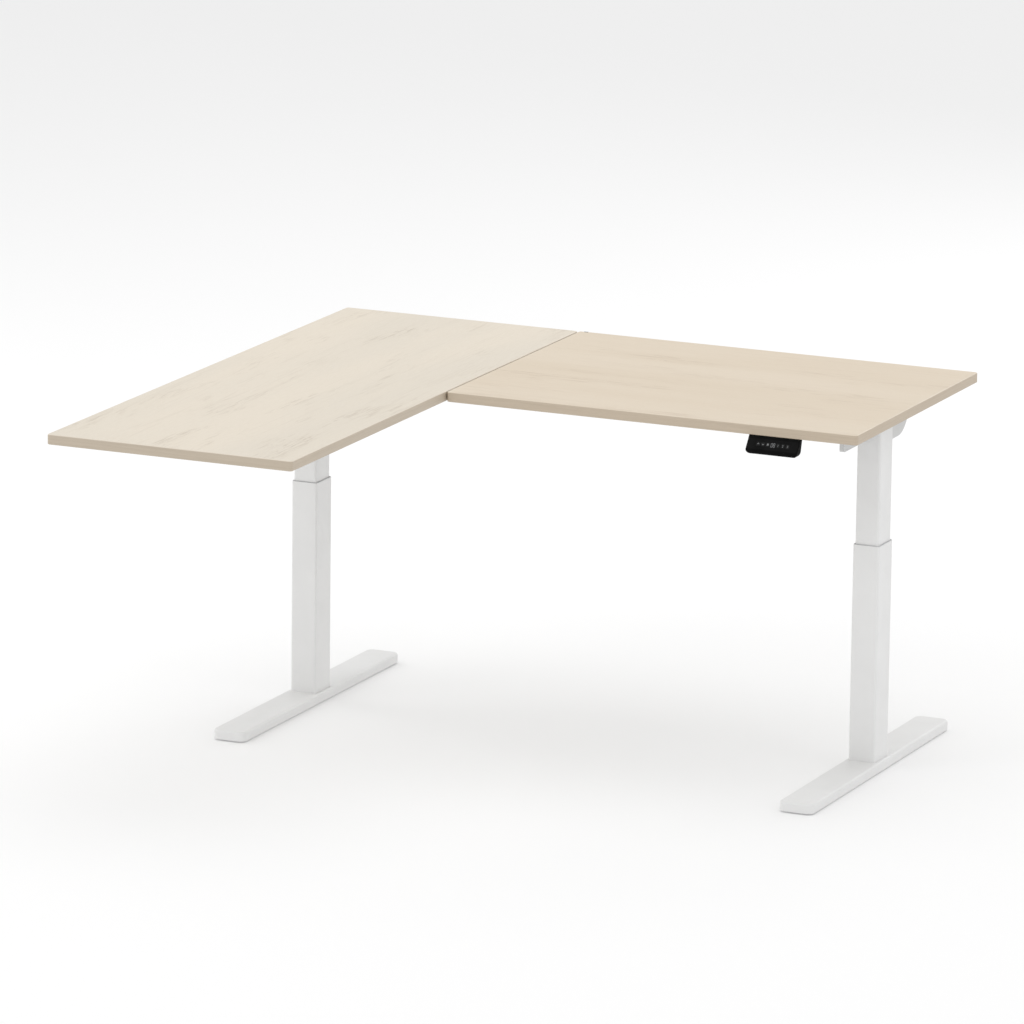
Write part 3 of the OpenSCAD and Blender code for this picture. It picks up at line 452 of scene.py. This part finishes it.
def band_profile(steps=5):
    """Inset and height of the band's section, from its inner foot round the outside to its top."""
    made = [(BAND_T, UNDER)]
    for step in range(steps + 1):
        turn = math.pi / 2 * step / steps
        made.append((LOWER_ARRIS * (1 - math.sin(turn)), UNDER + LOWER_ARRIS * (1 - math.cos(turn))))
    for step in range(steps + 1):
        turn = math.pi / 2 * step / steps
        made.append((UPPER_ARRIS * (1 - math.cos(turn)), TOP - UPPER_ARRIS * (1 - math.sin(turn))))
    made.append((BAND_T, TOP))
    return made


def cut_away(bm, box):
    """The bmesh without what lies in a box, given by its lowest and highest corner."""
    scene = bpy.context.scene
    bmesh.ops.recalc_face_normals(bm, faces=bm.faces)
    tool_bm = bmesh.new()
    bmesh.ops.create_cube(tool_bm, size=1.0)
    sized = Matrix.Translation((box[0] + box[1]) / 2) @ Matrix.Diagonal((*(box[1] - box[0]), 1.0))
    bmesh.ops.transform(tool_bm, matrix=sized, verts=tool_bm.verts)
    temporary = []
    for name, source in (("uncut", bm), ("notch_tool", tool_bm)):
        mesh = bpy.data.meshes.new(name)
        source.to_mesh(mesh)
        source.free()
        temporary.append(bpy.data.objects.new(name, mesh))
        scene.collection.objects.link(temporary[-1])
    uncut, tool = temporary
    cut = uncut.modifiers.new("cut", "BOOLEAN")
    cut.operation = "DIFFERENCE"
    cut.object = tool
    cut.solver = "EXACT"
    bpy.context.view_layer.update()
    done = uncut.evaluated_get(bpy.context.evaluated_depsgraph_get())
    left_over = bmesh.new()
    left_over.from_mesh(done.data)
    for holder in temporary:
        bpy.data.objects.remove(holder)
    return left_over


def edge_band(name, material, notch=None):
    """Loft of the band's section round the worktop, with its arrises rounded over."""
    low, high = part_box(name)
    section = band_profile()
    bm = bmesh.new()
    rings = []
    for point, out in stations(low, high, TOP_R):
        rings.append([bm.verts.new((*(point - inset * out), z)) for inset, z in section])
    for a, b in zip(rings, rings[1:] + rings[:1]):
        for i in range(len(section)):
            j = (i + 1) % len(section)
            bm.faces.new((a[i], b[i], b[j], a[j]))
    if notch:
        bm = cut_away(bm, notch)
    piece = piece_from(name + "_lipped", bm, material, "desktop")
    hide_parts(name)


edge_band("return_edge_band", BAND_RETURN)
clip_low, clip_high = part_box("back_cable_clip")
edge_band("main_edge_band", BAND_MAIN, (clip_low, clip_high + Vector((0, MM, MM))))


# ---------- handset legends and display ----------

FACE_TILT = math.radians(36.87)
UP_FACE = Vector((0, math.sin(FACE_TILT), math.cos(FACE_TILT)))
OUT = Vector((0, -math.cos(FACE_TILT), math.sin(FACE_TILT)))
case_low, case_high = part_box("handset_case")
FACE_BACK = 1.2 * MM
FACE_TOP = Vector(((case_low.x + case_high.x) / 2,
                   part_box("main_edge_band")[0].y + FACE_BACK, UNDER))
KEY_ROW = -20.5 * MM


def on_face(x, height, lift):
    """A point on the handset's sloping face: x in the frame, then up the face and out from it."""
    return Vector((x, FACE_TOP.y, FACE_TOP.z)) + UP_FACE * height + OUT * lift


def add_prism(bm, outline, x, lift, thickness):
    """Flat shape in mm round a point of the key row, raised from the face."""
    back = [bm.verts.new(on_face(x + u * MM, KEY_ROW + v * MM, lift)) for u, v in outline]
    front = [bm.verts.new(on_face(x + u * MM, KEY_ROW + v * MM, lift + thickness)) for u, v in outline]
    bm.faces.new(front)
    bm.faces.new(list(reversed(back)))
    for i in range(len(outline)):
        j = (i + 1) % len(outline)
        bm.faces.new((back[i], back[j], front[j], front[i]))


def rounded_box(w, h, r, steps=6):
    """Outline of a rectangle with rounded corners, in mm."""
    made = []
    for number, (sx, sy) in enumerate(((1, 1), (-1, 1), (-1, -1), (1, -1))):
        for step in range(steps + 1):
            turn = math.radians(90 * (number + step / steps))
            made.append((sx * (w / 2 - r) + r * math.cos(turn),
                         sy * (h / 2 - r) + r * math.sin(turn)))
    return made


CAP_HEIGHT = 0.7


def digit_outlines(text, height):
    """Flat mesh of a printed numeral, in mm."""
    curve = bpy.data.curves.new("numeral", "FONT")
    curve.body = text
    curve.size = height / CAP_HEIGHT
    curve.align_x = "CENTER"
    curve.align_y = "CENTER"
    curve.resolution_u = 4
    holder = bpy.data.objects.new("numeral", curve)
    mesh = bpy.data.meshes.new_from_object(holder)
    bpy.data.objects.remove(holder)
    return mesh


def numeral(text, height, x, lift, thickness):
    """A printed numeral round a point of the key row, raised from the face."""
    flat = bmesh.new()
    flat.from_mesh(digit_outlines(text, height))
    bmesh.ops.remove_doubles(flat, verts=flat.verts, dist=0.001)
    flat.verts.index_update()
    spots = [v.co.copy() for v in flat.verts]
    faces = [[v.index for v in face.verts] for face in flat.faces]
    rims = [[v.index for v in edge.verts] for edge in flat.edges if len(edge.link_faces) == 1]
    flat.free()
    lows = [min(spot[i] for spot in spots) for i in (0, 1)]
    highs = [max(spot[i] for spot in spots) for i in (0, 1)]
    middle = [(a + b) / 2 for a, b in zip(lows, highs)]
    bm = bmesh.new()
    layers = []
    for level in (lift, lift + thickness):
        layers.append([bm.verts.new(on_face(x + (spot.x - middle[0]) * MM,
                                            KEY_ROW + (spot.y - middle[1]) * MM, level))
                       for spot in spots])
    back, front = layers
    for face in faces:
        bm.faces.new([front[i] for i in face])
        bm.faces.new([back[i] for i in reversed(face)])
    for a, b in rims:
        bm.faces.new((back[a], back[b], front[b], front[a]))
    return bm


LEGEND_T = 0.06 * MM
KEY_LIFT = 0.3 * MM - 0.005 * MM
NUMERAL_H = 5.6
LENS_SIZE = 12.9
ARROW = [(-2.6, -1.9), (0.0, 0.9), (2.6, -1.9), (2.6, -0.2), (0.0, 2.7), (-2.6, -0.2)]
SYMBOLS = {
    "key_up": ARROW,
    "key_down": [(u, -v) for u, v in reversed(ARROW)],
    "key_memory": [(-1.9, 2.7), (-1.9, -2.7), (0.0, -1.1), (1.9, -2.7), (1.9, 2.7)],
}
for name in KEYS:
    low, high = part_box(name)
    x = (low.x + high.x) / 2
    if name in SYMBOLS:
        bm = bmesh.new()
        add_prism(bm, SYMBOLS[name], x, KEY_LIFT, LEGEND_T)
    else:
        bm = numeral(str(KEYS.index(name) - 2), NUMERAL_H, x, KEY_LIFT, LEGEND_T)
    piece_from(name + "_legend", bm, LEGEND, name)

bm = bmesh.new()
add_prism(bm, rounded_box(LENS_SIZE, LENS_SIZE, 1.15), FACE_TOP.x, -0.5 * MM, 0.35 * MM)
piece_from("display_lens", bm, LENS, "desktop")


def segment(a, b, half):
    """Pointed bar from a to b, as on a segment display."""
    a, b = Vector(a), Vector(b)
    along = (b - a).normalized()
    side = Vector((-along.y, along.x)) * half
    a, b = a + along * 0.12, b - along * 0.12
    return [tuple(p) for p in (a, a + along * half - side, b - along * half - side, b,
                               b - along * half + side, a + along * half + side)]


SEGMENTS = {
    "a": ((-1, 2), (1, 2)), "b": ((1, 2), (1, 0)), "c": ((1, 0), (1, -2)),
    "d": ((1, -2), (-1, -2)), "e": ((-1, -2), (-1, 0)), "f": ((-1, 0), (-1, 2)),
    "g": ((-1, 0), (1, 0)),
}
DIGIT_X, DIGIT_Y = 1.75, 2.35
BAR_HALF = 0.5
bm = bmesh.new()
for shift, lit in ((-2.7, "abcdef"), (2.7, "abcdefg")):
    for key in lit:
        ends = [(x * DIGIT_X + shift, y * DIGIT_Y) for x, y in SEGMENTS[key]]
        add_prism(bm, segment(*ends, BAR_HALF), FACE_TOP.x, -0.155 * MM, LEGEND_T)
piece_from("display_digits", bm, LEGEND, "desktop")


# ---------- floor, light and camera ----------

def studio():
    """Pale floor, even surroundings and large soft lights."""
    floor_mesh = bpy.data.meshes.new("floor")
    far = 60
    floor_mesh.from_pydata(
        [(-far, -far, 0), (far, -far, 0), (far, far, 0), (-far, far, 0)], [], [(0, 1, 2, 3)])
    floor = bpy.data.objects.new("floor", floor_mesh)
    bpy.context.scene.collection.objects.link(floor)
    f = Finish("pale_floor", roughness=0.9, specular=0.1)
    marks = f.noise(f.stretched(0.5, 0.5, 0.5), 2.0)
    f.set("Base Color", f.mix(marks, (0.72, 0.72, 0.72), (0.73, 0.73, 0.73)))
    f.set("Emission Color", (1, 1, 1, 1))
    f.set("Emission Strength", 0.22)
    floor_mesh.materials.append(f.material)

    world = bpy.data.worlds.new("studio")
    world.use_nodes = True
    background = world.node_tree.nodes["Background"]
    background.inputs["Color"].default_value = (1, 1, 1, 1)
    background.inputs["Strength"].default_value = 0.86
    bpy.context.scene.world = world

    for name, place, size, power in (
        ("key", (-3.6, -4.6, 5.0), 4.0, 50),
        ("right", (6.0, -1.5, 4.0), 3.0, 20),
        ("overhead", (0.3, 0.8, 6.5), 5.0, 45),
        ("left", (-6.0, 0.5, 3.0), 4.0, 50),
        ("behind", (1.0, 6.5, 3.4), 4.0, 50),
    ):
        data = bpy.data.lights.new(name, "AREA")
        data.shape = "DISK"
        data.size = size
        data.energy = power
        light = bpy.data.objects.new(name, data)
        light.location = place
        light.rotation_mode = "QUATERNION"
        aim = Vector((0, 0, 0.5)) - Vector(place)
        light.rotation_quaternion = aim.to_track_quat("-Z", "Y")
        bpy.context.scene.collection.objects.link(light)


def camera():
    """Long lens from the photograph's side, with its slight roll."""
    yaw, pitch, roll = (math.radians(a) for a in (-23.96, 13.16, 0.69))
    ahead = Vector((math.sin(yaw) * math.cos(pitch),
                    math.cos(yaw) * math.cos(pitch),
                    -math.sin(pitch)))
    level = Vector((math.cos(yaw), -math.sin(yaw), 0))
    up = level.cross(ahead)
    right = math.cos(roll) * level + math.sin(roll) * up
    up = -math.sin(roll) * level + math.cos(roll) * up
    data = bpy.data.cameras.new("camera")
    data.sensor_width = 36
    data.lens = 282.7
    data.clip_start, data.clip_end = 0.5, 200
    seen_from = bpy.data.objects.new("camera", data)
    turned = Matrix((right, up, -ahead)).transposed().to_4x4()
    seen_from.matrix_world = Matrix.Translation((7.148, -16.133, 4.726)) @ turned
    bpy.context.scene.collection.objects.link(seen_from)
    bpy.context.scene.camera = seen_from


studio()
camera()
bpy.context.scene.view_settings.view_transform = "Standard"
bpy.context.view_layer.update()
